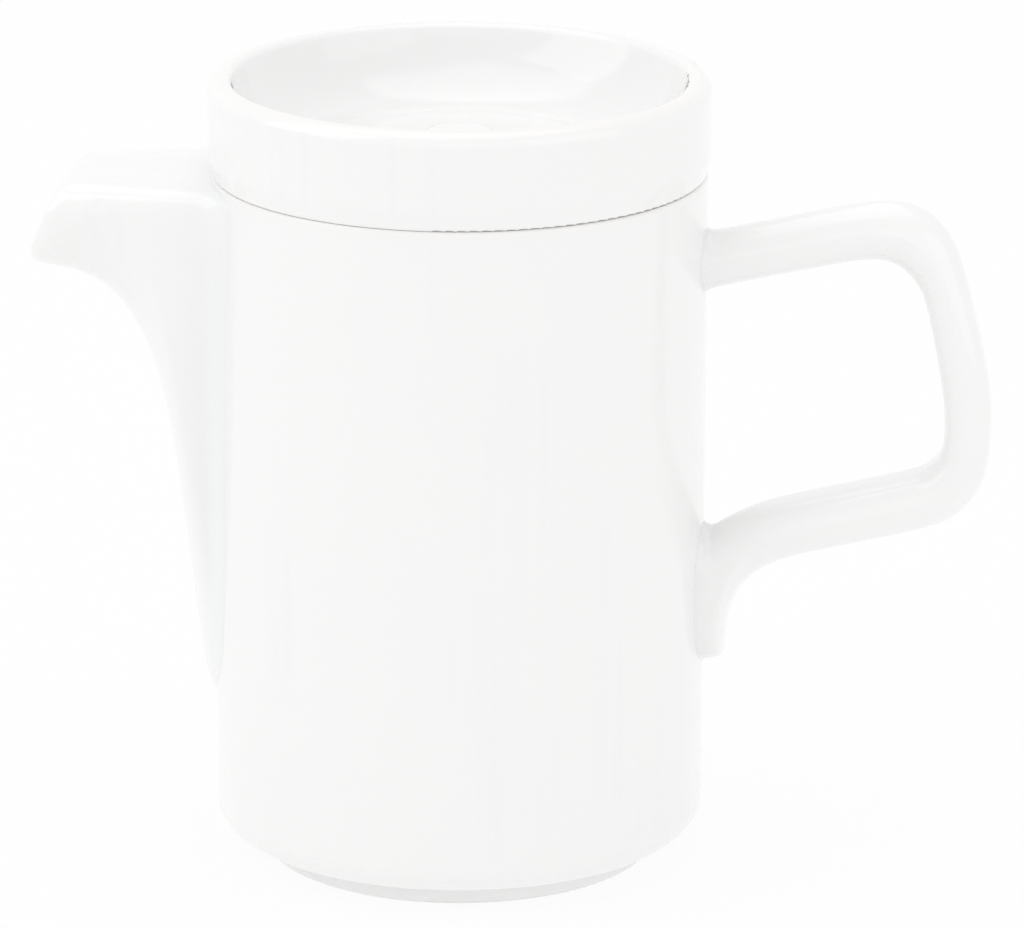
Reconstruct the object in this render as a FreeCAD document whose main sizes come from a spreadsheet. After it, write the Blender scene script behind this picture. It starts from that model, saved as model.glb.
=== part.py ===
"""White porcelain coffee pot: straight body on a foot ring, covered spout, loop handle, dished lid.

The pot stands on the XY plane with its axis on Z. The spout points along -X and the handle along +X.
"""
import FreeCAD, Part
import math
import os

import Sketcher

# Driving sizes in millimetres: alias, value, what it measures
SIZES = [
    ("body_radius", 40.0, "outside radius of the body"),
    ("body_wall", 3.4, "thickness of the body's wall"),
    ("rim_height", 113.7, "height of the body's rim, on which the lid rests"),
    ("rim_round", 0.5, "rounding of the rim's outer edge"),
    ("floor_top", 6.6, "height of the floor inside"),
    ("floor_round", 7.0, "rounding between floor and wall inside"),
    ("base_round", 4.5, "rounding of the body's lower edge"),
    ("foot_inset", 7.9, "how far the foot ring stands in from the body's outside"),
    ("foot_width", 3.0, "width of the foot ring"),
    ("foot_height", 3.9, "height of the foot ring outside"),
    ("foot_recess", 3.2, "depth of the hollow inside the foot ring"),
    ("foot_round", 0.6, "rounding of the foot ring's edges"),
    ("neck_step", 2.6, "how far the neck ring that holds the lid's flange stands in from the wall"),
    ("neck_depth", 7.0, "depth of the neck ring below the rim"),
    ("neck_round", 0.7, "rounding of the neck ring's edges"),
    ("port_width", 17.0, "width of the pouring port behind the spout"),
    ("port_bottom_drop", 75.7, "depth of the pouring port's lower end below the rim"),
    ("port_top_drop", 11.7, "depth of the pouring port's upper end below the rim"),
    ("port_round", 7.0, "corner rounding of the pouring port"),
    ("notch_gap", 1.0, "room at each side of the catch in the neck's notch"),
    ("spout_drop", 1.1, "depth of the spout's flat top below the rim"),
    ("spout_wall", 2.8, "thickness of the spout's wall"),
    ("spout_root_half", 15.44, "half width of the spout at the body's outside"),
    ("spout_tip_half", 12.6, "half width of the spout at its lip"),
    ("lip_out", 29.4, "how far the spout's lip stands out from the body"),
    ("lip_drop", 15.5, "depth of the spout's lip below the rim"),
    ("mouth_out", 23.0, "how far the mouth's upper edge stands out"),
    ("throat_out", 13.2, "how far the throat's corner stands out"),
    ("throat_drop", 17.4, "depth of the throat's corner below the rim"),
    ("throat_round", 16.0, "radius of the curve under the throat"),
    ("shin_out", 4.9, "how far the shin's corner stands out"),
    ("shin_drop", 43.7, "depth of the shin's corner below the rim"),
    ("shin_round", 150.0, "radius of the shin's slight bend"),
    ("toe_out", 1.5, "how far the spout's toe stands out"),
    ("toe_drop", 86.5, "depth of the spout's toe below the rim"),
    ("toe_round", 1.2, "rounding of the toe's lower edge"),
    ("toe_corner", 8.0, "how much the toe's lower corners are cut away"),
    ("toe_corner_round", 7.0, "rounding between the toe's cut corners and its lower edge"),
    ("nose_round", 10.2, "rounding of the spout's sides into its underside"),
    ("crown_round", 4.2, "rounding of the spout's top edges"),
    ("lip_round", 1.1, "rounding of the mouth's edges"),
    ("spout_joint", 3.5, "hollow where the spout runs into the body"),
    ("handle_joint", 1.3, "hollow where the handle runs into the body"),
    ("strap_drop", 9.4, "depth of the upper strap's top below the rim, at the body"),
    ("strap_rise", 0.226, "rise of the straps for each unit outwards"),
    ("strap_depth", 8.3, "thickness of the upper strap in the handle's plane"),
    ("shoulder_out", 37.5, "how far the handle's upper corner stands out from the body"),
    ("shoulder_round", 13.7, "radius of the handle's upper corner"),
    ("grip_out", 46.8, "how far the grip's outer bend stands out"),
    ("grip_drop", 36.2, "depth of the grip's outer bend below the rim"),
    ("grip_round", 42.0, "radius of the grip's bend"),
    ("elbow_out", 44.2, "how far the handle's lower corner stands out"),
    ("elbow_fall", 18.3, "height of the grip's bend above the handle's lower corner"),
    ("elbow_round", 13.0, "radius of the handle's lower corner"),
    ("heel_out", 3.2, "how far the handle's foot stands out"),
    ("heel_fall", 10.3, "height of the lower corner above where the lower strap would meet the foot"),
    ("heel_round", 13.5, "radius of the curve from the lower strap into the foot"),
    ("heel_length", 15.7, "length of the handle's foot below that"),
    ("heel_edge", 1.3, "rounding of the foot's lower edge"),
    ("loop_top_out", 34.2, "how far the finger loop's upper corner stands out"),
    ("loop_top_round", 9.2, "radius of the finger loop's upper corner"),
    ("loop_bend_out", 39.4, "how far the finger loop's bend stands out"),
    ("loop_bend_round", 34.0, "radius of the finger loop's bend"),
    ("loop_low_out", 39.2, "how far the finger loop's lower corner stands out"),
    ("loop_low_rise", 7.6, "height of the finger loop's lower corner above the handle's"),
    ("loop_low_round", 5.0, "radius of the finger loop's lower corner"),
    ("loop_root_out", 8.0, "how far out the lower strap's top turns down"),
    ("loop_root_fall", 7.9, "fall of the lower strap's top to where it turns down to the body"),
    ("loop_wall_fall", 7.0, "fall of the lower strap's top from there to inside the wall"),
    ("handle_top_half", 4.7, "half width of the handle at its highest point"),
    ("handle_foot_half", 6.8, "half width of the handle at its foot"),
    ("handle_edge", 2.9, "rounding of the handle's long edges"),
    ("lid_overhang", 0.5, "how far the lid stands out past the body"),
    ("lid_height", 15.7, "height of the lid above the rim"),
    ("lid_wall", 3.6, "thickness of the lid's rim"),
    ("lid_draft", 4.0, "how far the dish's wall leans in towards its floor"),
    ("lid_outer_round", 2.2, "rounding of the lid's rim outside"),
    ("lid_inner_round", 1.3, "rounding of the lid's rim inside"),
    ("lid_taper", 0.8, "how far the lid draws in towards its lower edge"),
    ("lid_taper_height", 3.2, "height over which the lid draws in"),
    ("lid_taper_round", 5.0, "rounding where the lid starts to draw in"),
    ("lid_low_round", 0.5, "rounding of the lid's lower edge"),
    ("dish_depth", 11.4, "depth of the lid's dish"),
    ("dish_round", 14.0, "rounding between the dish's wall and floor"),
    ("lid_plate", 3.8, "thickness of the lid's plate"),
    ("flange_gap", 0.5, "room between the lid's flange and the neck ring"),
    ("flange_wall", 2.6, "thickness of the lid's flange"),
    ("flange_depth", 11.2, "how far the flange hangs below the rim"),
    ("flange_round", 0.8, "rounding of the flange's lower edge"),
    ("button_radius", 6.4, "radius of the button in the dish"),
    ("button_height", 2.7, "height of the button"),
    ("button_round", 2.2, "rounding of the button's top edge"),
    ("catch_width", 12.0, "width of the lid's catch"),
    ("catch_height", 3.0, "height of the lid's catch"),
    ("catch_gap", 0.8, "room between the catch and the body's wall"),
    ("catch_round", 0.8, "rounding of the catch's outer edges"),
]

doc = FreeCAD.newDocument("coffee_pot")
sheet = doc.addObject("Spreadsheet::Sheet", "Sizes")
for row, (alias, value, note) in enumerate(SIZES, start=1):
    sheet.set(f"A{row}", note)
    sheet.set(f"B{row}", str(value))
    sheet.setAlias(f"B{row}", alias)
doc.recompute()

# Places that several pieces share
INNER_RADIUS = "(Sizes.body_radius - Sizes.body_wall)"
FOOT_RADIUS = "(Sizes.body_radius - Sizes.foot_inset)"
NECK_RADIUS = f"({INNER_RADIUS} - Sizes.neck_step)"
LID_RADIUS = "(Sizes.body_radius + Sizes.lid_overhang)"
NECK_BOTTOM = "(Sizes.rim_height - Sizes.neck_depth)"
FLANGE_RADIUS = f"({NECK_RADIUS} - Sizes.flange_gap)"
FLANGE_BOTTOM = "(Sizes.rim_height - Sizes.flange_depth)"
LID_TOP = "(Sizes.rim_height + Sizes.lid_height)"
DISH_FLOOR = f"({LID_TOP} - Sizes.dish_depth)"
DISH_RADIUS = f"({LID_RADIUS} - Sizes.lid_wall)"
INSIDE = "(Sizes.body_radius - 2 * Sizes.body_wall)"
SPOUT_BACK = "(Sizes.body_radius / 2)"

# Distances from the axis and heights of the corners of spout and handle
LIP_REACH = "(Sizes.body_radius + Sizes.lip_out)"
MOUTH_REACH = "(Sizes.body_radius + Sizes.mouth_out)"
THROAT_REACH = "(Sizes.body_radius + Sizes.throat_out)"
SHIN_REACH = "(Sizes.body_radius + Sizes.shin_out)"
TOE_REACH = "(Sizes.body_radius + Sizes.toe_out)"
SHOULDER_REACH = "(Sizes.body_radius + Sizes.shoulder_out)"
GRIP_REACH = "(Sizes.body_radius + Sizes.grip_out)"
ELBOW_REACH = "(Sizes.body_radius + Sizes.elbow_out)"
HEEL_REACH = "(Sizes.body_radius + Sizes.heel_out)"
LOOP_TOP_REACH = "(Sizes.body_radius + Sizes.loop_top_out)"
LOOP_BEND_REACH = "(Sizes.body_radius + Sizes.loop_bend_out)"
LOOP_LOW_REACH = "(Sizes.body_radius + Sizes.loop_low_out)"
LOOP_ROOT_REACH = "(Sizes.body_radius + Sizes.loop_root_out)"
PORT_BOTTOM = "(Sizes.rim_height - Sizes.port_bottom_drop)"
PORT_TOP = "(Sizes.rim_height - Sizes.port_top_drop)"
SPOUT_TOP = "(Sizes.rim_height - Sizes.spout_drop)"
LIP_HEIGHT = "(Sizes.rim_height - Sizes.lip_drop)"
THROAT_HEIGHT = "(Sizes.rim_height - Sizes.throat_drop)"
SHIN_HEIGHT = "(Sizes.rim_height - Sizes.shin_drop)"
TOE_HEIGHT = "(Sizes.rim_height - Sizes.toe_drop)"
STRAP_ROOT = "(Sizes.rim_height - Sizes.strap_drop)"
GRIP_HEIGHT = "(Sizes.rim_height - Sizes.grip_drop)"
ELBOW_HEIGHT = f"({GRIP_HEIGHT} - Sizes.elbow_fall)"
HEEL_MEET = f"({ELBOW_HEIGHT} - Sizes.heel_fall)"
HEEL_HEIGHT = f"({HEEL_MEET} - Sizes.heel_length)"
LOOP_LOW_HEIGHT = f"({ELBOW_HEIGHT} + Sizes.loop_low_rise)"
LOOP_ROOT_HEIGHT = f"({LOOP_LOW_HEIGHT} - Sizes.loop_root_fall)"
SHOULDER_HEIGHT = f"({STRAP_ROOT} + Sizes.strap_rise * Sizes.shoulder_out)"
STRAP_UNDER = f"({STRAP_ROOT} - Sizes.strap_depth)"
LOOP_TOP = f"({STRAP_UNDER} + Sizes.strap_rise * Sizes.loop_top_out)"


def size(expression):
    """The value of a sheet expression in millimetres."""
    return float(sheet.evalExpression(expression))


def plane(body, role):
    """One of a body's own origin planes."""
    return next(item for item in body.Origin.OriginFeatures if item.Role == role)


def new_body(label):
    """A body whose label names its file."""
    body = doc.addObject("PartDesign::Body", label)
    body.Label = label
    return body


def outline(body, name, role, *loops):
    """A sketch of closed straight-sided loops, each corner tied to two sheet expressions."""
    sketch = body.newObject("Sketcher::SketchObject", name)
    sketch.AttachmentSupport = (plane(body, role), [""])
    sketch.MapMode = "FlatFace"
    for corners in loops:
        first = sketch.GeometryCount
        points = [FreeCAD.Vector(size(across), size(up), 0) for across, up in corners]
        count = len(points)
        for index, point in enumerate(points):
            sketch.addGeometry(Part.LineSegment(point, points[(index + 1) % count]), False)
        for index, corner in enumerate(corners):
            line, following = first + index, first + (index + 1) % count
            sketch.addConstraint(Sketcher.Constraint("Coincident", line, 2, following, 1))
            for kind, axis, expression in (("DistanceX", -2, corner[0]), ("DistanceY", -1, corner[1])):
                if expression == "0":
                    sketch.addConstraint(Sketcher.Constraint("PointOnObject", line, 1, axis))
                    continue
                tie = Sketcher.Constraint(kind, -1, 1, line, 1, size(expression))
                sketch.setExpression(f"Constraints[{sketch.addConstraint(tie)}]", expression)
    return sketch


def revolve(body, sketch):
    """The sketch turned once round its vertical axis."""
    feature = body.newObject("PartDesign::Revolution", f"{sketch.Name}_turned")
    feature.Profile = sketch
    feature.ReferenceAxis = (sketch, ["V_Axis"])
    feature.Angle = 360
    doc.recompute()
    return feature


def pad(body, sketch, length, symmetric=False):
    """The sketch padded to a length, to both sides of its plane if symmetric."""
    feature = body.newObject("PartDesign::Pad", f"{sketch.Name}_pad")
    feature.Profile = sketch
    feature.SideType = "Symmetric" if symmetric else "One side"
    feature.setExpression("Length", length)
    doc.recompute()
    return feature


def pocket(body, sketch, length=None, reverse=False):
    """The sketch cut out of the body, to a length or through all of it."""
    before = body.Shape.Volume
    feature = body.newObject("PartDesign::Pocket", f"{sketch.Name}_cut")
    feature.Profile = sketch
    feature.Reversed = reverse
    if length is None:
        feature.Type = "ThroughAll"
    else:
        feature.setExpression("Length", length)
    doc.recompute()
    if body.Shape.Volume >= before:
        raise RuntimeError(f"{feature.Name} cuts nothing")
    return feature


def fillet(body, name, radius, wanted):
    """Round the edges of the body's tip that the test accepts."""
    base = body.Tip
    edges = [f"Edge{n}" for n, edge in enumerate(base.Shape.Edges, start=1) if wanted(edge)]
    if not edges:
        raise RuntimeError(f"{name} finds no edge to round")
    feature = body.newObject("PartDesign::Fillet", name)
    feature.Base = (base, edges)
    feature.setExpression("Radius", radius)
    doc.recompute()
    if feature.Shape.isNull() or not feature.Shape.isValid():
        raise RuntimeError(f"{name} cannot be rounded by {size(radius):.2f}")
    return feature


def close(first, second, slack=0.01):
    """Whether two lengths agree."""
    return abs(first - second) < slack


def middle(edge):
    """The point halfway along an edge."""
    return edge.valueAt((edge.FirstParameter + edge.LastParameter) / 2)


def on_ring(radius, height):
    """A test for the circular edges of a given radius at a given height."""
    wanted_radius, wanted_height = size(radius), size(height)

    def test(edge):
        curve = edge.Curve
        if not isinstance(curve, Part.Circle):
            return False
        return close(curve.Radius, wanted_radius) and close(curve.Center.z, wanted_height)

    return test


def across_at(reach, height):
    """A test for the edges that run across the pot through a given point of the XZ plane."""
    wanted = FreeCAD.Vector(size(reach), 0, size(height))

    def test(edge):
        box = edge.BoundBox
        thin = box.XLength < 0.01 and box.ZLength < 0.01
        return thin and close(box.Center.x, wanted.x) and close(box.Center.z, wanted.z)

    return test


def build_pot_body():
    """The hollow body, turned in one, then cut for the catch's notch and the pouring port."""
    body = new_body("pot_body")
    profile = outline(
        body,
        "pot_profile",
        "XZ_Plane",
        [
            (f"{FOOT_RADIUS} - Sizes.foot_width", "0"),
            (FOOT_RADIUS, "0"),
            (FOOT_RADIUS, "Sizes.foot_height"),
            ("Sizes.body_radius", "Sizes.foot_height"),
            ("Sizes.body_radius", "Sizes.rim_height"),
            (NECK_RADIUS, "Sizes.rim_height"),
            (NECK_RADIUS, NECK_BOTTOM),
            (INNER_RADIUS, f"{NECK_BOTTOM} - Sizes.neck_step"),
            (INNER_RADIUS, "Sizes.floor_top"),
            ("0", "Sizes.floor_top"),
            ("0", "Sizes.foot_recess"),
            (f"{FOOT_RADIUS} - Sizes.foot_width", "Sizes.foot_recess"),
        ],
    )
    revolve(body, profile)
    fillet(body, "base_edge", "Sizes.base_round", on_ring("Sizes.body_radius", "Sizes.foot_height"))
    fillet(body, "foot_crease", "Sizes.foot_round", on_ring(FOOT_RADIUS, "Sizes.foot_height"))
    fillet(body, "foot_outer_edge", "Sizes.foot_round", on_ring(FOOT_RADIUS, "0"))
    fillet(
        body, "foot_inner_edge", "Sizes.foot_round", on_ring(f"{FOOT_RADIUS} - Sizes.foot_width", "0")
    )
    fillet(body, "rim_edge", "Sizes.rim_round", on_ring("Sizes.body_radius", "Sizes.rim_height"))
    fillet(body, "neck_edge", "Sizes.neck_round", on_ring(NECK_RADIUS, "Sizes.rim_height"))
    fillet(body, "floor_edge", "Sizes.floor_round", on_ring(INNER_RADIUS, "Sizes.floor_top"))
    half_notch = "(Sizes.catch_width / 2 + Sizes.notch_gap)"
    notch = outline(
        body,
        "notch",
        "XY_Plane",
        [
            (f"-{INNER_RADIUS}", f"-{half_notch}"),
            (f"-{INSIDE}", f"-{half_notch}"),
            (f"-{INSIDE}", half_notch),
            (f"-{INNER_RADIUS}", half_notch),
        ],
    )
    notch.setExpression("AttachmentOffset.Base.z", "Sizes.rim_height")
    pocket(body, notch, "Sizes.neck_depth + Sizes.neck_step")
    port = outline(
        body,
        "port",
        "YZ_Plane",
        [
            ("-Sizes.port_width / 2", PORT_BOTTOM),
            ("Sizes.port_width / 2", PORT_BOTTOM),
            ("Sizes.port_width / 2", PORT_TOP),
            ("-Sizes.port_width / 2", PORT_TOP),
        ],
    )
    pocket(body, port, "Sizes.body_radius + Sizes.body_wall")
    half_width = size("Sizes.port_width / 2")
    ends = (size(PORT_BOTTOM), size(PORT_TOP))

    def port_corner(edge):
        box = edge.BoundBox
        straight = box.YLength < 0.01 and box.ZLength < 0.01
        at_side = close(abs(box.Center.y), half_width)
        return straight and at_side and any(close(box.Center.z, end) for end in ends)

    fillet(body, "port_corners", "Sizes.port_round", port_corner)
    return body


def spout_form(label, inset):
    """The spout's form before it meets the body; inset shrinks it evenly to give its channel."""
    body = new_body(label)
    toe = f"-({TOE_REACH} - {inset})"
    shin = f"-({SHIN_REACH} - {inset})"
    throat = (f"-({THROAT_REACH} - {inset})", f"{THROAT_HEIGHT} + {inset}")
    mouth_run = f"({LIP_REACH} - {MOUTH_REACH}) / ({SPOUT_TOP} - {LIP_HEIGHT})"
    lip_height = f"({LIP_HEIGHT} + {inset})"
    crown_height = f"({SPOUT_TOP} - {inset})"
    # the channel passes out through the mouth by as much as it is inset
    lip = f"-({LIP_REACH} - {mouth_run} * {inset} + 2 * {inset})"
    crown = f"-({MOUTH_REACH} + {mouth_run} * {inset} + 2 * {inset})"
    side = outline(
        body,
        f"{label}_side",
        "XZ_Plane",
        [
            (toe, f"{TOE_HEIGHT} + 4 * {inset}"),
            (f"-{SPOUT_BACK}", f"{TOE_HEIGHT} + 4 * {inset}"),
            (f"-{SPOUT_BACK}", crown_height),
            (crown, crown_height),
            (lip, lip_height),
            throat,
            (shin, SHIN_HEIGHT),
        ],
    )
    pad(body, side, "3 * Sizes.spout_root_half", symmetric=True)
    fillet(body, f"{label}_throat", f"Sizes.throat_round + {inset}", across_at(*throat))
    fillet(body, f"{label}_shin", "Sizes.shin_round", across_at(shin, SHIN_HEIGHT))
    taper = "(Sizes.spout_root_half - Sizes.spout_tip_half) / Sizes.lip_out"
    beyond = f"({LIP_REACH} + Sizes.spout_tip_half)"

    def half_at(reach):
        return f"(Sizes.spout_root_half - {inset} - {taper} * ({reach} - Sizes.body_radius))"

    cheeks = [
        [
            (f"-{SPOUT_BACK}", f"{sign}{half_at(SPOUT_BACK)}"),
            (f"-{beyond}", f"{sign}{half_at(beyond)}"),
            (f"-{beyond}", f"{sign}2 * Sizes.spout_root_half"),
            (f"-{SPOUT_BACK}", f"{sign}2 * Sizes.spout_root_half"),
        ]
        for sign in ("", "-")
    ]
    pocket(body, outline(body, f"{label}_cheeks", "XY_Plane", *cheeks), reverse=True)
    toe_line = size(toe)
    under_top = size(lip_height)
    toe_line_height = size(f"{TOE_HEIGHT} + 4 * {inset}")
    crown_line = size(crown_height)

    def on_cheek(point):
        return close(abs(point.y), size(half_at(str(-point.x))))

    def along_underside(edge):
        point = middle(edge)
        beside = toe_line_height + 0.01 < point.z < under_top + 0.01 and point.x < toe_line + 0.01
        return beside and on_cheek(point)

    def along_crown(edge):
        point = middle(edge)
        return close(point.z, crown_line) and on_cheek(point)

    fillet(body, f"{label}_nose", f"Sizes.nose_round - {inset}", along_underside)
    fillet(body, f"{label}_crown", f"Sizes.crown_round - {inset} / 2", along_crown)
    return body


def run_into_body(body, joint_round):
    """Trim a form to the pot's outside, with a hollow rounding where the two meet."""
    height = LID_TOP
    wall = body.newObject("PartDesign::AdditiveCylinder", f"{body.Name}_wall")
    wall.setExpression("Radius", "Sizes.body_radius")
    wall.setExpression("Height", height)
    doc.recompute()
    radius = size("Sizes.body_radius")
    top = size(height)

    def along_joint(edge):
        span = edge.LastParameter - edge.FirstParameter
        points = [edge.valueAt(edge.FirstParameter + span * share) for share in (0.1, 0.5, 0.9)]
        on_wall = all(close(math.hypot(point.x, point.y), radius) for point in points)
        own_edge = all(point.z < 0.01 for point in points) or all(point.z > top - 0.01 for point in points)
        seam = close(edge.BoundBox.ZLength, top)
        return on_wall and not own_edge and not seam

    fillet(body, f"{body.Name}_joint", joint_round, along_joint)
    hollow = body.newObject("PartDesign::SubtractiveCylinder", f"{body.Name}_hollow")
    hollow.setExpression("Radius", "Sizes.body_radius")
    hollow.setExpression("Height", height)
    doc.recompute()


def build_spout():
    """The covered spout: its form trimmed to the body, with the channel cut through to its mouth."""
    body = spout_form("spout", "0")
    toe = TOE_HEIGHT
    corner_inner = "(Sizes.spout_root_half - Sizes.toe_corner)"
    corner_outer = "(Sizes.spout_root_half + Sizes.spout_wall)"
    corner_top = f"{toe} + Sizes.toe_corner + Sizes.spout_wall"
    corners = [
        [
            (f"{sign}{corner_inner}", toe),
            (f"{sign}{corner_outer}", toe),
            (f"{sign}{corner_outer}", corner_top),
        ]
        for sign in ("", "-")
    ]
    pocket(body, outline(body, "toe_corners", "YZ_Plane", *corners))
    toe_line, corner_line = size(toe), size(corner_inner)

    def along_corner(edge):
        box, point = edge.BoundBox, middle(edge)
        straight = box.YLength < 0.01 and box.ZLength < 0.01
        return straight and close(point.z, toe_line) and close(abs(point.y), corner_line)

    fillet(body, "toe_corner_curve", "Sizes.toe_corner_round", along_corner)
    side_reach = -size(f"{TOE_REACH} - Sizes.nose_round / 2")
    highest = size(f"{toe} + Sizes.toe_corner")

    def along_toe(edge):
        point = middle(edge)
        return point.z < highest and point.x < side_reach

    fillet(body, "spout_toe", "Sizes.toe_round", along_toe)
    run_into_body(body, "Sizes.spout_joint")
    above = outline(
        body,
        "spout_above",
        "XY_Plane",
        [
            (f"-2 * {LIP_REACH}", "-Sizes.body_radius"),
            ("0", "-Sizes.body_radius"),
            ("0", "Sizes.body_radius"),
            (f"-2 * {LIP_REACH}", "Sizes.body_radius"),
        ],
    )
    above.setExpression("AttachmentOffset.Base.z", SPOUT_TOP)
    pocket(body, above, "Sizes.lid_height", reverse=True)
    channel = spout_form("spout_channel", "Sizes.spout_wall")
    cut = body.newObject("PartDesign::Boolean", "spout_hollow")
    cut.Type = "Cut"
    cut.setObjects([channel])
    doc.recompute()
    lip = FreeCAD.Vector(-size(LIP_REACH), 0, size(LIP_HEIGHT))
    crown = FreeCAD.Vector(-size(MOUTH_REACH), 0, size(SPOUT_TOP))
    slope = (crown - lip).normalize()

    def round_mouth(edge):
        span = edge.LastParameter - edge.FirstParameter
        points = [edge.valueAt(edge.FirstParameter + span * share) for share in (0.1, 0.5, 0.9)]
        offsets = [point - lip for point in points]
        return all(close(offset.x * slope.z - offset.z * slope.x, 0) for offset in offsets)

    fillet(body, "spout_lip", "Sizes.lip_round", round_mouth)
    return body


def build_handle():
    """The loop handle: its outline padded, narrowed to the top, rounded and run into the body."""
    body = new_body("handle")
    shoulder = (SHOULDER_REACH, SHOULDER_HEIGHT)
    grip = (GRIP_REACH, GRIP_HEIGHT)
    elbow = (ELBOW_REACH, ELBOW_HEIGHT)
    heel = (HEEL_REACH, HEEL_MEET)
    loop_root = (LOOP_ROOT_REACH, LOOP_ROOT_HEIGHT)
    loop_low = (LOOP_LOW_REACH, LOOP_LOW_HEIGHT)
    loop_bend = (LOOP_BEND_REACH, GRIP_HEIGHT)
    loop_top = (LOOP_TOP_REACH, LOOP_TOP)
    inside_rise = f"Sizes.strap_rise * (Sizes.body_radius - {INSIDE})"
    side = outline(
        body,
        "handle_side",
        "XZ_Plane",
        [
            (INSIDE, f"{STRAP_ROOT} - {inside_rise}"),
            shoulder,
            grip,
            elbow,
            heel,
            (HEEL_REACH, HEEL_HEIGHT),
            (INSIDE, HEEL_HEIGHT),
            (INSIDE, f"{LOOP_ROOT_HEIGHT} - Sizes.loop_wall_fall"),
            loop_root,
            loop_low,
            loop_bend,
            loop_top,
            (INSIDE, f"{STRAP_UNDER} - {inside_rise}"),
        ],
    )
    pad(body, side, "2 * Sizes.handle_foot_half", symmetric=True)
    for name, radius, corner in (
        ("shoulder", "Sizes.shoulder_round", shoulder),
        ("grip_bend", "Sizes.grip_round", grip),
        ("elbow", "Sizes.elbow_round", elbow),
        ("heel_curve", "Sizes.heel_round", heel),
        ("loop_root", "Sizes.heel_round", loop_root),
        ("loop_low", "Sizes.loop_low_round", loop_low),
        ("loop_bend", "Sizes.loop_bend_round", loop_bend),
        ("loop_top", "Sizes.loop_top_round", loop_top),
    ):
        fillet(body, f"handle_{name}", radius, across_at(*corner))
    cheeks = [
        [
            (f"{sign}Sizes.handle_foot_half", HEEL_HEIGHT),
            (f"{sign}2 * Sizes.handle_foot_half", HEEL_HEIGHT),
            (f"{sign}2 * Sizes.handle_foot_half", SHOULDER_HEIGHT),
            (f"{sign}Sizes.handle_top_half", SHOULDER_HEIGHT),
        ]
        for sign in ("", "-")
    ]
    pocket(body, outline(body, "handle_cheeks", "YZ_Plane", *cheeks), reverse=True)
    narrowing = (size("Sizes.handle_foot_half") - size("Sizes.handle_top_half")) / (
        size(SHOULDER_HEIGHT) - size(HEEL_HEIGHT)
    )
    foot_half = size("Sizes.handle_foot_half")
    heel_height = size(HEEL_HEIGHT)
    back = size(INSIDE)

    def along_side(edge):
        point = middle(edge)
        on_cheek = close(abs(point.y), foot_half - narrowing * (point.z - heel_height))
        return on_cheek and point.x > back + 0.01 and point.z > heel_height + 0.01

    fillet(body, "handle_sides", "Sizes.handle_edge", along_side)

    def along_heel(edge):
        point = middle(edge)
        level = close(edge.BoundBox.ZLength, 0) and close(point.z, heel_height)
        return level and point.x > back + 0.01

    fillet(body, "handle_heel", "Sizes.heel_edge", along_heel)
    run_into_body(body, "Sizes.handle_joint")
    return body


def build_lid():
    """The dished lid, turned in one with the flange that hangs inside the neck."""
    body = new_body("lid")
    ceiling = f"({DISH_FLOOR} - Sizes.lid_plate)"
    flange_inner = f"({FLANGE_RADIUS} - Sizes.flange_wall)"
    dish_low = f"({DISH_RADIUS} - Sizes.lid_draft)"
    low_radius = f"({LID_RADIUS} - Sizes.lid_taper)"
    taper_top = "(Sizes.rim_height + Sizes.lid_taper_height)"
    profile = outline(
        body,
        "lid_profile",
        "XZ_Plane",
        [
            ("0", ceiling),
            (flange_inner, ceiling),
            (flange_inner, FLANGE_BOTTOM),
            (FLANGE_RADIUS, FLANGE_BOTTOM),
            (FLANGE_RADIUS, "Sizes.rim_height"),
            (low_radius, "Sizes.rim_height"),
            (LID_RADIUS, taper_top),
            (LID_RADIUS, LID_TOP),
            (DISH_RADIUS, LID_TOP),
            (dish_low, DISH_FLOOR),
            ("0", DISH_FLOOR),
        ],
    )
    revolve(body, profile)
    fillet(body, "lid_low_edge", "Sizes.lid_low_round", on_ring(low_radius, "Sizes.rim_height"))
    fillet(body, "lid_taper_edge", "Sizes.lid_taper_round", on_ring(LID_RADIUS, taper_top))
    fillet(body, "lid_rim_outside", "Sizes.lid_outer_round", on_ring(LID_RADIUS, LID_TOP))
    fillet(body, "lid_rim_inside", "Sizes.lid_inner_round", on_ring(DISH_RADIUS, LID_TOP))
    fillet(body, "dish_edge", "Sizes.dish_round", on_ring(dish_low, DISH_FLOOR))
    fillet(body, "flange_outer_edge", "Sizes.flange_round", on_ring(FLANGE_RADIUS, FLANGE_BOTTOM))
    fillet(body, "flange_inner_edge", "Sizes.flange_round", on_ring(flange_inner, FLANGE_BOTTOM))
    fillet(body, "ceiling_edge", "Sizes.flange_round", on_ring(flange_inner, ceiling))
    return body


def build_lid_button():
    """The low round button in the middle of the dish."""
    body = new_body("lid_button")
    button_top = f"({DISH_FLOOR} + Sizes.button_height)"
    profile = outline(
        body,
        "button_profile",
        "XZ_Plane",
        [
            ("0", DISH_FLOOR),
            ("Sizes.button_radius", DISH_FLOOR),
            ("Sizes.button_radius", button_top),
            ("0", button_top),
        ],
    )
    revolve(body, profile)
    fillet(body, "button_edge", "Sizes.button_round", on_ring("Sizes.button_radius", button_top))
    return body


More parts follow.
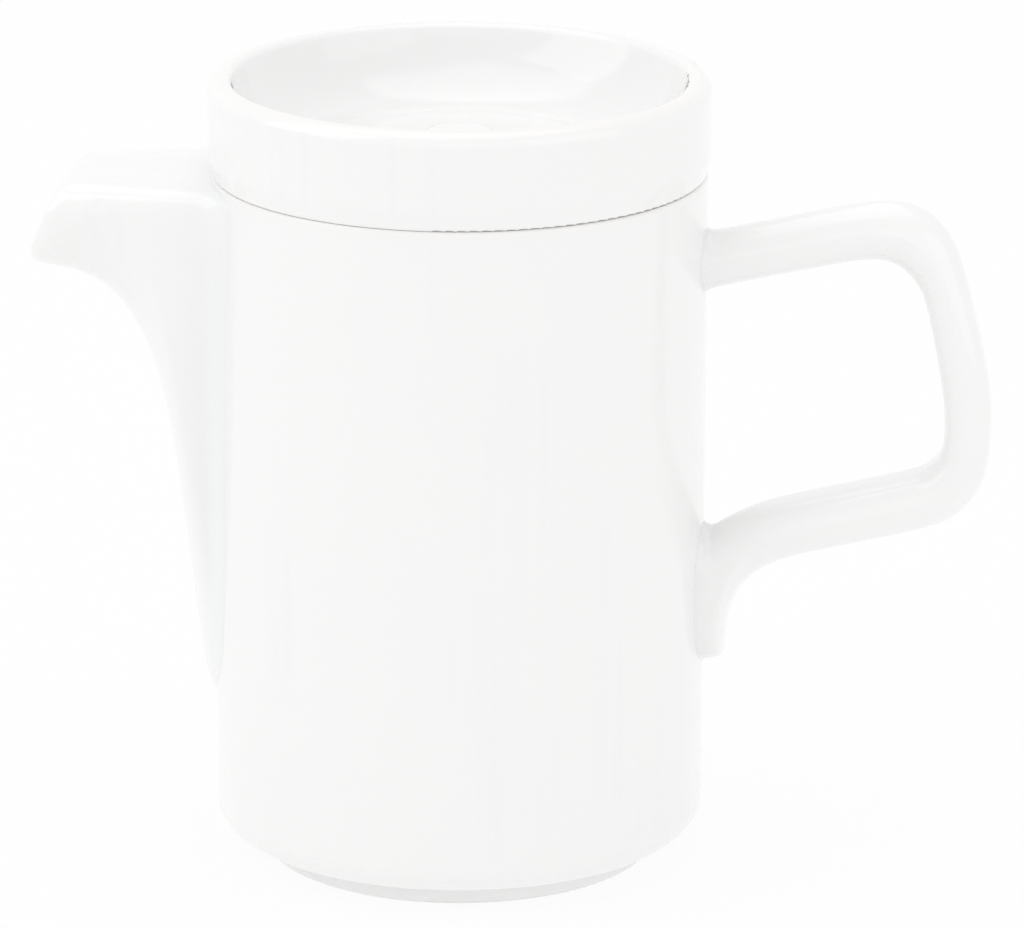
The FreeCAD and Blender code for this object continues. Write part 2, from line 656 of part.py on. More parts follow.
def build_lid_catch():
    """The lug low on the flange, which hooks under the neck ring once the lid is turned."""
    body = new_body("lid_catch")
    catch_reach = f"({INNER_RADIUS} - Sizes.catch_gap)"
    half = "(Sizes.catch_width / 2)"
    lug = outline(
        body,
        "catch_plan",
        "XY_Plane",
        [
            (f"-{INSIDE} + Sizes.flange_wall", f"-{half}"),
            (f"-{INSIDE} + Sizes.flange_wall", half),
            (f"-{catch_reach}", half),
            (f"-{catch_reach}", f"-{half}"),
        ],
    )
    bottom = f"({FLANGE_BOTTOM} + Sizes.flange_round)"
    lug.setExpression("AttachmentOffset.Base.z", bottom)
    pad(body, lug, "Sizes.catch_height")
    reach = -size(catch_reach)
    fillet(body, "catch_edges", "Sizes.catch_round", lambda edge: close(middle(edge).x, reach))
    flange = body.newObject("PartDesign::SubtractiveCylinder", "catch_seat")
    flange.setExpression("Radius", FLANGE_RADIUS)
    flange.setExpression("Height", LID_TOP)
    doc.recompute()
    return body


pieces = [
    build_pot_body(),
    build_spout(),
    build_handle(),
    build_lid(),
    build_lid_button(),
    build_lid_catch(),
]
for item in doc.Objects:
    if "Invalid" in item.State or "Error" in item.State:
        raise RuntimeError(f"{item.Label} failed to rebuild")
for piece in pieces:
    if piece.Shape.isNull() or not piece.Shape.isValid() or len(piece.Shape.Solids) != 1:
        raise RuntimeError(f"{piece.Label} is not one sound solid")
os.makedirs("parts", exist_ok=True)
for piece in pieces:
    piece.Shape.exportStep(f"parts/{piece.Label}.step")
    print(f"{piece.Label}: {piece.Shape.Volume / 1000:.1f} cubic centimetres")
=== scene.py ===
"""White porcelain coffee pot in soft studio light: its glazes, spout, handle, floor, lamps and camera."""
import logging
import math
from dataclasses import dataclass, field
from enum import Enum
from typing import Any, Union

import bmesh
import bpy
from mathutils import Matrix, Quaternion, Vector


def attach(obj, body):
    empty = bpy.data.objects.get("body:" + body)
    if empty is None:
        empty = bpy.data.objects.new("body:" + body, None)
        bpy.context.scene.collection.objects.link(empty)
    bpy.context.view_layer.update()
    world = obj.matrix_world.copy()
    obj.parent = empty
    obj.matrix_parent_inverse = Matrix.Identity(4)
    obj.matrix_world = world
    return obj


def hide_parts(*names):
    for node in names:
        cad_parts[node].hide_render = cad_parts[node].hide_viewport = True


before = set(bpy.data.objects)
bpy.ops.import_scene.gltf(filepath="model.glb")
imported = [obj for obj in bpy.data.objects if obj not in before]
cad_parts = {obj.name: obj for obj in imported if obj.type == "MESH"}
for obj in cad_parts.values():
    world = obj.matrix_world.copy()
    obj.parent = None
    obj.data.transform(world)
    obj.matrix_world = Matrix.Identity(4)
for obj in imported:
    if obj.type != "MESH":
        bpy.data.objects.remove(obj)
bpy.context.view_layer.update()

Point = tuple[float, float, float]
Colour = tuple[float, float, float, float]
Span = tuple[float, float]
Number = Union[float, "Field"]

LOG = logging.getLogger("coffee_pot")
MM = 0.001
WHITE: Colour = (1.0, 1.0, 1.0, 1.0)
UPPER_TURNS = (0, 45, 90)
LOWER_TURNS = (0, 30, 60, 90)
SIDE_SHARES = (0.667, 0.333)
FLARE_POWER = 4


class Side(Enum):
    """Which way from the pot's axis a piece points."""

    SPOUT = -1.0
    HANDLE = 1.0


class Field:
    """A number that varies over a surface; Python's operators on it add Math nodes."""

    def __init__(self, bench: "Bench", socket: bpy.types.NodeSocket) -> None:
        """Wrap a socket.

        Args:
            bench: the bench whose material the socket belongs to.
            socket: the output socket that carries the number.
        """
        self.bench = bench
        self.socket = socket

    def math(self, operation: str, first: Number, second: Number) -> "Field":
        """Add one Math node.

        Args:
            operation: the node's operation.
            first: its first value.
            second: its second value.

        Returns:
            The node's result.
        """
        node = self.bench.node("ShaderNodeMath", {"operation": operation}, {0: first, 1: second})
        return Field(self.bench, node.outputs[0])

    def __add__(self, other: Number) -> "Field":
        """This plus other."""
        return self.math("ADD", self, other)

    def __radd__(self, other: Number) -> "Field":
        """Other plus this."""
        return self.math("ADD", other, self)

    def __sub__(self, other: Number) -> "Field":
        """This minus other."""
        return self.math("SUBTRACT", self, other)

    def __rsub__(self, other: Number) -> "Field":
        """Other minus this."""
        return self.math("SUBTRACT", other, self)

    def __mul__(self, other: Number) -> "Field":
        """This times other."""
        return self.math("MULTIPLY", self, other)

    def __rmul__(self, other: Number) -> "Field":
        """Other times this."""
        return self.math("MULTIPLY", other, self)

    def __pow__(self, other: Number) -> "Field":
        """This to the power of other."""
        return self.math("POWER", self, other)

    def at_least(self, other: Number) -> "Field":
        """The larger of this and other."""
        return self.math("MAXIMUM", self, other)

    def fade(self, start: float, end: float) -> "Field":
        """Go smoothly from 0 to 1 as the number goes from start to end.

        Args:
            start: where the result is 0.
            end: where the result is 1; it may be below start.

        Returns:
            The faded number.
        """
        node = self.bench.node(
            "ShaderNodeMapRange",
            {"interpolation_type": "SMOOTHSTEP"},
            {"Value": self, "From Min": start, "From Max": end},
        )
        return Field(self.bench, node.outputs["Result"])


class Bench:
    """Lays out the nodes of one material or of the world."""

    def __init__(self, tree: bpy.types.NodeTree) -> None:
        """Start from an empty tree.

        Args:
            tree: the node tree to fill.
        """
        tree.nodes.clear()
        self.tree = tree

    def node(
        self, kind: str, settings: dict[str, Any], sockets: dict[Union[str, int], Any]
    ) -> bpy.types.Node:
        """Add one node.

        Args:
            kind: the node's type.
            settings: its properties, set first.
            sockets: for each input, a value, a socket or a Field.

        Returns:
            The node.
        """
        made = self.tree.nodes.new(kind)
        for name, value in settings.items():
            setattr(made, name, value)
        for name, value in sockets.items():
            source = value.socket if isinstance(value, Field) else value
            if isinstance(source, bpy.types.NodeSocket):
                self.tree.links.new(source, made.inputs[name])
            else:
                made.inputs[name].default_value = source
        return made

    def place(self) -> bpy.types.NodeSocket:
        """Where a point of the surface lies, in metres."""
        return self.node("ShaderNodeTexCoord", {}, {}).outputs["Object"]

    def axes(self) -> tuple[Field, Field, Field]:
        """The three coordinates of a point of the surface, in metres."""
        split = self.node("ShaderNodeSeparateXYZ", {}, {"Vector": self.place()})
        return tuple(Field(self, split.outputs[name]) for name in ("X", "Y", "Z"))

    def seen(self) -> Field:
        """Tell the rays that show a surface from those that only light it.

        Returns:
            1 for rays from the camera, in reflections and through glass, and 0 for others.
        """
        paths = self.node("ShaderNodeLightPath", {}, {}).outputs
        found = Field(self, paths["Is Camera Ray"])
        for name in ("Is Glossy Ray", "Is Transmission Ray"):
            found = found.at_least(Field(self, paths[name]))
        return found

    def noise(self, per_metre: Point, detail: float, distortion: float = 0.0) -> Field:
        """Cloudy noise, stretched as the three densities say.

        Args:
            per_metre: how many clouds there are in a metre along each axis.
            detail: how many finer layers the noise has.
            distortion: how much the clouds wander.

        Returns:
            Noise round 0.5.
        """
        mapped = self.node("ShaderNodeMapping", {}, {"Vector": self.place(), "Scale": per_metre})
        cloud = self.node(
            "ShaderNodeTexNoise",
            {"noise_dimensions": "3D"},
            {"Vector": mapped.outputs["Vector"], "Scale": 1.0, "Detail": detail, "Distortion": distortion},
        )
        return Field(self, cloud.outputs["Fac"])

    def blend(self, share: Number, first: Any, second: Any) -> bpy.types.NodeSocket:
        """Mix two colours.

        Args:
            share: how much of the second there is.
            first: a colour or a colour socket.
            second: a colour or a colour socket.

        Returns:
            The mixed colour.
        """
        mixed = self.node("ShaderNodeMix", {"data_type": "RGBA"}, {0: share, 6: first, 7: second})
        return mixed.outputs[2]

    def bump(self, height: Field, depth: float, under: Any = None) -> bpy.types.NodeSocket:
        """Relief that shows in the reflections.

        Args:
            height: the relief, from 0 to 1.
            depth: how deep it is, in metres.
            under: another relief that this one lies on.

        Returns:
            The normal.
        """
        sockets = {"Height": height, "Distance": depth, "Strength": 1.0}
        if under is not None:
            sockets["Normal"] = under
        return self.node("ShaderNodeBump", {}, sockets).outputs["Normal"]


@dataclass(frozen=True)
class Ring:
    """A ring round the pot's axis where shade is painted into the glaze or where the glaze thins, in
    millimetres.
    """

    radius: float
    height: float
    width: float

    def nearness(self, across: Field, up: Field) -> Field:
        """How near a point is to the ring.

        Args:
            across: the point's distance from the axis, in metres.
            up: the point's height, in metres.

        Returns:
            1 on the ring, 0 beyond its width.
        """
        aside = across - self.radius * MM
        above = up - self.height * MM
        return ((aside * aside + above * above) ** 0.5).fade(self.width * MM, 0.0)


@dataclass(frozen=True)
class Glaze:
    """Glossy white glaze: clear over white clay, warmer where it thins, with a darker, cooler colour that
    varies at random, is painted in streaks as painted reflection and is painted into creases and joints as
    painted shade.

    Densities are in clouds per metre, widths and depths in millimetres. A span is a fade's start and end.
    """

    name: str
    colour: Colour = (0.93, 0.93, 0.925, 1.0)
    tone_and_painted_light: Colour = (0.885, 0.9, 0.905, 1.0)
    thinned: Colour = (0.94, 0.925, 0.9, 1.0)
    bare: Colour = (0.78, 0.755, 0.71, 1.0)
    painted_shade_rings: tuple[Ring, ...] = ()
    edges: tuple[Ring, ...] = ()
    edge_share: float = 0.6
    joint_radius: float = 0.0
    joint_width: float = 2.5
    joint_shade_share: float = 0.8
    bare_foot: bool = False
    bare_span: Span = (0.7, 0.3)
    bare_wander: float = 0.9
    grain_density: Point = (2600.0, 2600.0, 2600.0)
    grain_span: Span = (0.35, 0.7)
    cloud_density: Point = (38.0, 38.0, 38.0)
    cloud_span: Span = (0.4, 0.75)
    cloud_share: float = 0.12
    patch_density: Point = (30.0, 30.0, 14.0)
    patch_span: Span = (0.45, 0.62)
    streak_density: Point = (420.0, 420.0, 9.0)
    streak_bend: float = 0.3
    streak_span: Span = (0.42, 0.7)
    painted_streak_share: float = 0.35
    streak_depth: float = 0.02
    ripple_density: Point = (260.0, 260.0, 260.0)
    ripple_depth: float = 0.012
    clean_roughness: float = 0.11
    cloud_roughness: float = 0.07
    edge_roughness: float = 0.08
    bare_roughness: float = 0.6
    edge_coat_loss: float = 0.4
    coat_roughness: float = 0.03
    refraction: float = 1.5

    def make(self) -> bpy.types.Material:
        """Build the glaze.

        Returns:
            The material.
        """
        material = bpy.data.materials.new(self.name)
        material.use_nodes = True
        bench = Bench(material.node_tree)
        x, y, z = bench.axes()
        across = (x * x + y * y) ** 0.5
        cloud = bench.noise(self.cloud_density, 2.0)
        drawn = bench.noise(self.streak_density, 2.0, self.streak_bend)
        streaks = drawn * bench.noise(self.patch_density, 1.0).fade(*self.patch_span)
        # Painted reflection: these streaks of darker colour stand in for streaky reflections on the glaze;
        # the bump made from the same streaks below is real relief.
        tone_and_painted_light_share = streaks.fade(*self.streak_span) * self.painted_streak_share
        tone_and_painted_light_share = tone_and_painted_light_share + cloud.fade(*self.cloud_span) * self.cloud_share
        # Painted shade: the darker, cooler colour fills the creases along the rings and the places where a
        # spout or handle meets the body.
        for ring in self.painted_shade_rings:
            tone_and_painted_light_share = tone_and_painted_light_share.at_least(ring.nearness(across, z))
        if self.joint_radius:
            beyond = across - self.joint_radius * MM
            tone_and_painted_light_share = tone_and_painted_light_share.at_least(beyond.fade(self.joint_width * MM, 0.0) * self.joint_shade_share)
        colour = bench.blend(tone_and_painted_light_share, self.colour, self.tone_and_painted_light)
        roughness = self.clean_roughness + cloud * self.cloud_roughness
        coat: Number = 1.0
        for ring in self.edges:
            worn = ring.nearness(across, z)
            colour = bench.blend(worn * (self.edge_share + cloud * self.edge_share), colour, self.thinned)
            roughness = roughness + worn * self.edge_roughness
            coat = coat - worn * self.edge_coat_loss
        if self.bare_foot:
            start, end = self.bare_span
            naked = (z + cloud * self.bare_wander * MM).fade(start * MM, end * MM)
            grain = bench.noise(self.grain_density, 2.0).fade(*self.grain_span)
            colour = bench.blend(naked, colour, bench.blend(grain, self.bare, self.thinned))
            roughness = roughness + naked * self.bare_roughness
            coat = coat * (1.0 - naked)
        ripple = bench.bump(bench.noise(self.ripple_density, 1.0), self.ripple_depth * MM)
        surface = bench.node(
            "ShaderNodeBsdfPrincipled",
            {},
            {
                "Base Color": colour,
                "Roughness": roughness,
                "Coat Weight": coat,
                "Coat Roughness": self.coat_roughness,
                "Coat IOR": self.refraction,
                "IOR": self.refraction,
                "Normal": bench.bump(streaks, self.streak_depth * MM, ripple),
            },
        )
        bench.node("ShaderNodeOutputMaterial", {}, {"Surface": surface.outputs["BSDF"]})
        return material


@dataclass(frozen=True)
class FloorFinish:
    """A pale matt floor, lit through from below: nearly white, with a faint shadow under the pot."""

    name: str = "studio_floor"
    colour: Colour = (0.94, 0.94, 0.94, 1.0)
    speckle: Colour = (0.9, 0.9, 0.9, 1.0)
    speckle_density: Point = (90.0, 90.0, 90.0)
    speckle_share: float = 0.1
    roughness: float = 0.85
    whitened: float = 0.9
    lit_through: float = 0.45

    def make(self) -> bpy.types.Material:
        """Build the floor's material.

        Returns:
            The material.
        """
        material = bpy.data.materials.new(self.name)
        material.use_nodes = True
        bench = Bench(material.node_tree)
        speckled = bench.noise(self.speckle_density, 2.0) * self.speckle_share
        colour = bench.blend(speckled, self.colour, self.speckle)
        matt = bench.node(
            "ShaderNodeBsdfPrincipled", {}, {"Base Color": colour, "Roughness": self.roughness}
        )
        white = bench.node("ShaderNodeEmission", {}, {"Color": WHITE, "Strength": 1.0})
        both = bench.node(
            "ShaderNodeMixShader",
            {},
            {
                0: bench.seen() * (self.whitened - self.lit_through) + self.lit_through,
                1: matt.outputs["BSDF"],
                2: white.outputs["Emission"],
            },
        )
        bench.node("ShaderNodeOutputMaterial", {}, {"Surface": both.outputs["Shader"]})
        return material


@dataclass(frozen=True)
class Section:
    """A cut through a spout or a strap, along the line from an upper to a lower point, in millimetres.

    A point is its reach, which is its distance from the pot's axis, and its height.
    """

    upper: tuple[float, float]
    lower: tuple[float, float]
    half: float
    upper_round: float
    lower_round: tuple[float, float]
    bow: float = 0.0
    flare: float = 0.0

    def half_outline(self) -> list[tuple[float, float]]:
        """Half of the outline, from its upper to its lower end.

        Returns:
            For each point, how far it lies from the middle and from the lower end.
        """
        length = math.dist(self.upper, self.lower)
        side, nose = self.lower_round
        crown = length - self.upper_round
        points = [(0.0, length)]
        for turn in UPPER_TURNS:
            angle = math.radians(turn)
            aside = self.half - self.upper_round * (1 - math.sin(angle))
            points.append((aside, crown + self.upper_round * math.cos(angle)))
        points += [(self.half, nose + (crown - nose) * share) for share in SIDE_SHARES]
        for turn in LOWER_TURNS:
            angle = math.radians(turn)
            points.append((self.half - side * (1 - math.cos(angle)), nose * (1 - math.sin(angle))))
        points.append((0.0, 0.0))
        widening = self.flare / self.half
        return [
            (aside * (1 + widening * (along / length) ** FLARE_POWER), along) for aside, along in points
        ]

    def places(self, side: Side, wall: float) -> list[Vector]:
        """Every point of the outline.

        Args:
            side: which way the piece points.
            wall: the radius of the wall that the piece springs from, which a bowed section follows.

        Returns:
            The points in metres, down one half and up the other.
        """
        half = self.half_outline()
        length = math.dist(self.upper, self.lower)
        found = []
        for aside, along in half + [(-aside, along) for aside, along in half[-2:0:-1]]:
            share = along / length
            reach = self.lower[0] + (self.upper[0] - self.lower[0]) * share
            height = self.lower[1] + (self.upper[1] - self.lower[1]) * share
            back = self.bow * (wall - math.sqrt(wall * wall - aside * aside))
            found.append(Vector((side.value * (reach - back), aside, height)) * MM)
        return found


@dataclass
class Skin:
    """A smooth skin over a row of sections."""

    name: str
    side: Side
    wall: float
    closed: bool
    smoothing: int = 2

    def build(self, sections: list[Section]) -> bpy.types.Object:
        """Make the skin's object.

        Args:
            sections: the cuts through the piece, in order.

        Returns:
            The object, with its subdivision.
        """
        shape = bmesh.new()
        rings = [self.ring(shape, section) for section in sections]
        following = rings[1:] + rings[:1] if self.closed else rings[1:]
        for first, second in zip(rings, following):
            bmesh.ops.bridge_loops(shape, edges=first + second)
        if not self.closed:
            bmesh.ops.holes_fill(shape, edges=rings[0] + rings[-1], sides=len(rings[0]))
        bmesh.ops.recalc_face_normals(shape, faces=shape.faces)
        for face in shape.faces:
            face.smooth = True
        mesh = bpy.data.meshes.new(self.name)
        shape.to_mesh(mesh)
        shape.free()
        made = bpy.data.objects.new(self.name, mesh)
        bpy.context.scene.collection.objects.link(made)
        smooth = made.modifiers.new("smooth", "SUBSURF")
        smooth.levels = self.smoothing
        smooth.render_levels = self.smoothing
        return made

    def ring(self, shape: bmesh.types.BMesh, section: Section) -> list[bmesh.types.BMEdge]:
        """Bend a circle to one section.

        Args:
            shape: the mesh that the ring is added to.
            section: the cut that the ring follows.

        Returns:
            The ring's edges.
        """
        places = section.places(self.side, self.wall)
        made = bmesh.ops.create_circle(shape, segments=len(places), radius=MM)
        for vert, place in zip(made["verts"], places):
            vert.co = place
        return list({edge for vert in made["verts"] for edge in vert.link_edges})


@dataclass
class Spout:
    """The covered spout: a deep soft root on the body that rises into a slanted mouth, with its channel."""

    body_radius: float = 40.0
    top: float = 112.9
    rise: float = 0.5
    root_half: float = 14.8
    tip_half: float = 13.0
    tip_reach: float = 69.0
    flare: float = 5.0
    crown_round: float = 4.2
    toe: float = 27.2
    toe_nose: float = 15.0
    lip_nose: float = 10.0
    fullness: float = 0.82
    root_fullness: float = 0.8
    ceiling_round: float = 3.0
    wall: float = 2.8

    def build(self) -> bpy.types.Object:
        """Make the spout in place of its node.

        Returns:
            The spout's object.
        """
        skin = Skin("spout_shell", Side.SPOUT, self.body_radius, closed=True)
        made = skin.build(self.root() + self.outside() + self.lip() + self.channel())
        made.data.materials.append(self.finish().make())
        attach(made, "pot")
        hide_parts("spout")
        LOG.info("spout built")
        return made

    def finish(self) -> Glaze:
        """The spout's glaze, with painted shade where the spout meets the body."""
        return Glaze("spout_glaze", joint_radius=self.body_radius, joint_width=2.2, streak_depth=0.01)

    def half_at(self, reach: float) -> float:
        """Half the spout's width at a reach from the pot's axis."""
        share = (reach - self.body_radius) / (self.tip_reach - self.body_radius)
        return self.root_half + (self.tip_half - self.root_half) * share

    def cut(self, reach: float, lower: tuple[float, float], nose: float, bow: float = 0.0) -> Section:
        """A section of the outside.

        Args:
            reach: how far out the section's upper end is.
            lower: its lower end.
            nose: how high the curve of its underside is.
            bow: how much it follows the body's roundness.

        Returns:
            The section.
        """
        half = self.half_at((reach + lower[0]) / 2)
        nearness = 1 - (reach - self.body_radius) / (self.tip_reach - self.body_radius)
        upper = (reach, self.top + self.rise * nearness**2)
        flare = self.flare * nearness**2
        return Section(upper, lower, half, self.crown_round, (self.fullness * half, nose), bow, flare)

    def root(self) -> list[Section]:
        """The hollow curve out of the body.

        Returns:
            The sections, from inside the body's wall outwards.
        """
        found = []
        for out, spread, drop in ((-1.4, 3.0, 2.6), (0.03, 2.8, 2.4), (0.7, 1.1, 0.8)):
            reach = self.body_radius + out
            half = self.root_half + spread
            upper = (reach, self.top + self.rise)
            lower = (reach, self.toe - drop)
            round_off = (self.root_fullness * half, self.toe_nose)
            found.append(Section(upper, lower, half, self.crown_round, round_off, 1.0, self.flare))
        return found

    def outside(self) -> list[Section]:
        """The spout's outside.

        Returns:
            The sections, from the body to the mouth.
        """
        return [
            self.cut(42.0, (41.3, self.toe), self.toe_nose, 1.0),
            self.cut(44.2, (41.9, 30.0), 20.0, 0.85),
            self.cut(46.6, (42.8, 38.0), 27.0, 0.6),
            self.cut(48.6, (44.1, 52.0), 33.0, 0.4),
            self.cut(50.4, (45.6, 66.0), 33.0, 0.25),
            self.cut(52.2, (48.0, 78.0), 27.0, 0.1),
            self.cut(54.0, (51.4, 86.6), 20.0),
            self.cut(55.8, (55.8, 92.6), 15.0),
            self.cut(57.6, (61.2, 95.7), 12.0),
        ]

    def lip(self) -> list[Section]:
        """The rounded edge of the mouth.

        Returns:
            The sections, from the outside to the inside.
        """
        nose = (self.fullness * self.tip_half, self.lip_nose)
        return [
            Section((60.2, 112.95), (66.0, 96.5), self.tip_half + 0.2, self.crown_round, nose),
            Section((62.4, 112.8), (68.6, 96.8), self.tip_half, self.crown_round, nose),
            Section((63.8, 111.7), (70.0, 97.8), self.tip_half - 0.6, self.crown_round, nose),
            Section((64.1, 110.0), (69.3, 99.9), self.tip_half - 1.8, 3.4, (8.4, 7.6)),
            Section((62.6, 109.5), (67.2, 100.7), self.tip_half - 2.6, 3.0, (8.0, 7.0)),
        ]

    def channel(self) -> list[Section]:
        """The spout's inside.

        Returns:
            The sections, from the mouth back into the body's wall.
        """
        ceiling = self.top - self.wall
        found = []
        for reach, lower, nose, bow in (
            (60.0, (63.0, 99.9), 7.2, 0.0),
            (56.0, (56.6, 97.6), 9.0, 0.0),
            (52.5, (51.6, 93.6), 12.0, 0.0),
            (49.5, (47.8, 87.0), 16.0, 0.0),
            (46.8, (44.8, 78.5), 20.0, 0.1),
            (44.4, (42.5, 66.0), 24.0, 0.3),
            (42.2, (41.0, 51.0), 24.0, 0.7),
            (40.2, (40.0, 39.4), 20.0, 1.0),
            (38.8, (38.8, 37.4), 20.0, 1.0),
        ):
            half = self.half_at(max(reach, self.body_radius)) - self.wall
            round_off = (self.fullness * half, nose)
            found.append(Section((reach, ceiling), lower, half, self.ceiling_round, round_off, bow))
        return found


@dataclass
class Handle:
    """The loop handle: an upper strap, a grip that leans out, a lower strap and a foot on the body."""

    body_radius: float = 40.0
    top: float = 112.8
    heel: float = 33.2
    top_half: float = 4.7
    foot_half: float = 6.8
    roundness: float = 0.46
    swell: float = 0.4

    def build(self) -> bpy.types.Object:
        """Make the handle in place of its node.

        Returns:
            The handle's object.
        """
        skin = Skin("handle_loop", Side.HANDLE, self.body_radius, closed=False)
        made = skin.build(self.upper_strap() + self.grip() + self.lower_strap() + self.foot())
        made.data.materials.append(self.finish().make())
        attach(made, "pot")
        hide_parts("handle")
        LOG.info("handle built")
        return made

    def finish(self) -> Glaze:
        """The handle's glaze, with painted shade where the handle meets the body."""
        return Glaze("handle_glaze", joint_radius=self.body_radius, joint_width=1.6, streak_depth=0.008)

    def cut(
        self, outer: tuple[float, float], inner: tuple[float, float], spread: float = 0.0, bow: float = 0.0
    ) -> Section:
        """A section of the loop.

        Args:
            outer: its end on the loop's outside.
            inner: its end on the loop's inside.
            spread: how much wider it is than the handle there.
            bow: how much it follows the body's roundness.

        Returns:
            The section.
        """
        lowness = (self.top - (outer[1] + inner[1]) / 2) / (self.top - self.heel)
        half = self.top_half + (self.foot_half - self.top_half) * lowness + spread
        across = Vector(outer) - Vector(inner)
        outer = Vector(outer) + across.normalized() * self.swell
        inner = Vector(inner) - across.normalized() * self.swell
        edge = self.roundness * min(across.length, 2 * half)
        return Section(tuple(outer), tuple(inner), half, edge, (edge, edge), bow)

    def upper_strap(self) -> list[Section]:
        """The strap at the top.

        Returns:
            The sections, from inside the body's wall out to the shoulder.
        """
        return [
            self.cut((38.6, 105.0), (38.6, 95.0), 1.0, 1.0),
            self.cut((40.03, 105.1), (40.03, 95.2), 0.9, 1.0),
            self.cut((40.6, 104.6), (40.6, 95.9), 0.3, 0.95),
            self.cut((42.0, 104.7), (42.0, 96.4), 0.0, 0.6),
            self.cut((50.0, 106.6), (50.0, 98.3)),
            self.cut((58.0, 108.5), (58.0, 100.1)),
            self.cut((64.6, 110.0), (64.8, 101.6)),
        ]

    def grip(self) -> list[Section]:
        """The part that the hand holds.

        Returns:
            The sections, round the shoulder, down the grip and round the elbow.
        """
        return [
            self.cut((70.4, 110.8), (68.6, 101.7)),
            self.cut((75.2, 109.3), (71.5, 100.5)),
            self.cut((78.7, 105.7), (73.9, 98.2)),
            self.cut((80.8, 101.2), (75.4, 95.6)),
            self.cut((83.1, 92.0), (76.8, 90.4)),
            self.cut((84.9, 84.8), (78.0, 84.3)),
            self.cut((86.1, 77.5), (79.2, 77.5)),
            self.cut((85.9, 69.0), (79.2, 71.4)),
            self.cut((84.8, 64.2), (78.5, 69.2)),
            self.cut((82.5, 60.9), (77.3, 67.5)),
            self.cut((79.3, 58.3), (75.9, 66.4)),
            self.cut((75.4, 56.9), (74.6, 65.6)),
        ]

    def lower_strap(self) -> list[Section]:
        """The strap at the bottom.

        Returns:
            The sections, back towards the body and down into the foot.
        """
        return [
            self.cut((66.0, 54.6), (66.0, 63.4)),
            self.cut((58.0, 52.6), (58.5, 61.5)),
            self.cut((52.6, 51.1), (53.2, 60.2)),
            self.cut((48.6, 48.8), (49.2, 59.1)),
            self.cut((45.7, 45.4), (46.2, 57.9)),
            self.cut((44.3, 41.4), (44.2, 56.8), 0.0, 0.2),
            self.cut((43.8, 37.6), (42.8, 55.9), 0.0, 0.5),
        ]

    def foot(self) -> list[Section]:
        """The foot's lower edge and the curve into the body.

        Returns:
            The sections, ending inside the body's wall.
        """
        return [
            self.cut((43.7, 35.0), (42.0, 55.4), 0.0, 0.7),
            self.cut((43.2, 33.7), (41.4, 55.2), 0.1, 0.85),
            self.cut((41.8, 33.3), (40.9, 55.2), 0.2, 0.95),
            self.cut((40.5, 33.1), (40.5, 55.4), 0.4, 1.0),
            self.cut((40.03, 32.7), (40.03, 55.9), 0.9, 1.0),
            self.cut((38.6, 32.7), (38.6, 55.9), 0.9, 1.0),
        ]


@dataclass
class Pot:
    """The pot itself: the turned body with its spout and handle, fired as one."""

    rim_height: float = 113.7
    body_radius: float = 40.0
    foot_radius: float = 32.1
    foot_height: float = 3.9
    shade_ring_width: float = 1.6
    edge_inset: float = 0.3
    edge_width: float = 1.0

    def build(self) -> None:
        """Glaze the body and put the spout and the handle on it."""
        rim = Ring(self.body_radius - self.edge_inset, self.rim_height - self.edge_inset, self.edge_width)
        # The body's glaze has painted shade in the crease between the body and its foot ring.
        finish = Glaze(
            "body_glaze",
            painted_shade_rings=(Ring(self.foot_radius, self.foot_height, self.shade_ring_width),),
            edges=(rim,),
            bare_foot=True,
            streak_depth=0.03,
        )
        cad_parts["pot_body"].data.materials[0] = finish.make()
        LOG.info("body glazed")
        Spout(self.body_radius).build()
        Handle(self.body_radius).build()


@dataclass
class Lid:
    """The lift-off lid: a round dish with a button in it and a flange below."""

    radius: float = 40.5
    top: float = 129.4
    dish_floor: float = 118.0
    button_radius: float = 6.4
    edge_inset: float = 1.5
    ring_width: float = 1.6

    def dress(self) -> None:
        """Glaze the three nodes of the lid."""
        # Painted shade: a darker ring in the crease round the foot of the button, on the lid and on the
        # button.
        round_button = Ring(self.button_radius, self.dish_floor, self.ring_width)
        lid = Glaze(
            "lid_glaze",
            painted_shade_rings=(round_button,),
            edges=(Ring(self.radius - self.edge_inset, self.top, self.ring_width),),
            streak_depth=0.012,
        )
        catch = Glaze("catch_glaze", streak_depth=0.004)
        button = Glaze("button_glaze", painted_shade_rings=(round_button,), streak_depth=0.004)
        for node, finish in (("lid", lid), ("lid_button", button), ("lid_catch", catch)):
            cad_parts[node].data.materials[0] = finish.make()
            LOG.info("%s glazed", node)


@dataclass
class Softbox:
    """A square soft lamp."""

    name: str
    place: Point
    aim: Point
    width: float
    power: float

    def build(self) -> bpy.types.Object:
        """Make the lamp.

        Returns:
            The lamp's object.
        """
        lamp = bpy.data.lights.new(self.name, "AREA")
        lamp.shape = "SQUARE"
        lamp.size = self.width
        lamp.energy = self.power
        made = bpy.data.objects.new(self.name, lamp)
        made.location = self.place
        made.rotation_euler = (Vector(self.aim) - Vector(self.place)).to_track_quat("-Z", "Y").to_euler()
        bpy.context.scene.collection.objects.link(made)
        return made


@dataclass
class Viewpoint:
    """The camera, where the photograph was taken from."""

    eye: Point = (0.1236, -1.0048, 0.3681)
    aim: Point = (0.0086, 0.0, 0.0647)
    lens: float = 228.1
    roll: float = 0.0024
    sensor_width: float = 36.0
    farthest: float = 20.0

    def build(self) -> bpy.types.Object:
        """Make the camera.

        Returns:
            The camera's object.
        """
        lens = bpy.data.cameras.new("camera")
        lens.lens = self.lens
        lens.sensor_width = self.sensor_width
        lens.clip_end = self.farthest
        made = bpy.data.objects.new("camera", lens)
        made.location = self.eye
        made.rotation_mode = "QUATERNION"
        ahead = (Vector(self.aim) - Vector(self.eye)).to_track_quat("-Z", "Y")
        made.rotation_quaternion = ahead @ Quaternion((0.0, 0.0, 1.0), self.roll)
        bpy.context.scene.collection.objects.link(made)
        bpy.context.scene.camera = made
        return made


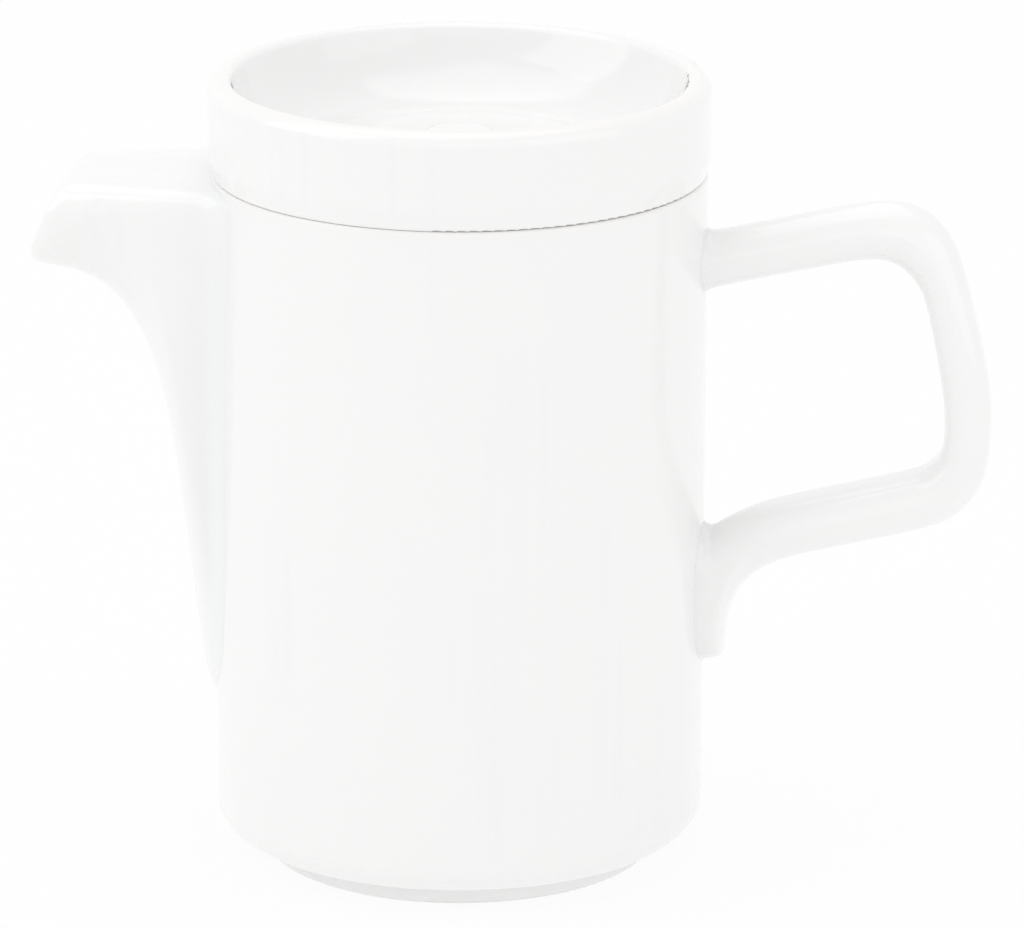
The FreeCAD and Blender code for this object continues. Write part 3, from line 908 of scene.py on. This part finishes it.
@dataclass
class Studio:
    """A pale floor, soft lamps, white surroundings and the camera."""

    floor_half: float = 4.0
    ambient: float = 0.84
    lamps: tuple[Softbox, ...] = field(
        default_factory=lambda: (
            Softbox("left_lamp", (-1.5, -0.6, 1.1), (0.0, 0.0, 0.07), 1.6, 4.4),
            Softbox("right_lamp", (1.5, -0.9, 0.6), (0.0, 0.0, 0.07), 1.6, 2.6),
            Softbox("top_lamp", (-0.2, 0.2, 1.8), (0.0, 0.0, 0.1), 1.8, 4.2),
            Softbox("front_lamp", (0.3, -2.0, 0.35), (0.0, 0.0, 0.05), 1.6, 1.3),
        )
    )

    def build(self) -> None:
        """Make the floor, the lamps, the surroundings and the camera."""
        self.build_floor()
        self.build_surroundings()
        for lamp in self.lamps:
            lamp.build()
        Viewpoint().build()
        LOG.info("studio ready")

    def build_floor(self) -> None:
        """Lay the floor under the foot ring."""
        shape = bmesh.new()
        bmesh.ops.create_grid(shape, x_segments=1, y_segments=1, size=self.floor_half)
        mesh = bpy.data.meshes.new("floor")
        shape.to_mesh(mesh)
        shape.free()
        mesh.materials.append(FloorFinish().make())
        floor = bpy.data.objects.new("floor", mesh)
        bpy.context.scene.collection.objects.link(floor)

    def build_surroundings(self) -> None:
        """Light the pot evenly from all round, and show white to the camera and in reflections."""
        world = bpy.data.worlds.new("surroundings")
        world.use_nodes = True
        bpy.context.scene.world = world
        bench = Bench(world.node_tree)
        light = bench.node("ShaderNodeBackground", {}, {"Color": WHITE, "Strength": self.ambient})
        shown = bench.node("ShaderNodeBackground", {}, {"Color": WHITE, "Strength": 1.0})
        both = bench.node(
            "ShaderNodeMixShader",
            {},
            {0: bench.seen(), 1: light.outputs["Background"], 2: shown.outputs["Background"]},
        )
        bench.node("ShaderNodeOutputWorld", {}, {"Surface": both.outputs["Shader"]})


def main() -> None:
    """Build everything in order."""
    logging.basicConfig(level=logging.INFO)
    bpy.context.scene.view_settings.view_transform = "Standard"
    Pot().build()
    Lid().dress()
    Studio().build()


if __name__ == "__main__":
    main()
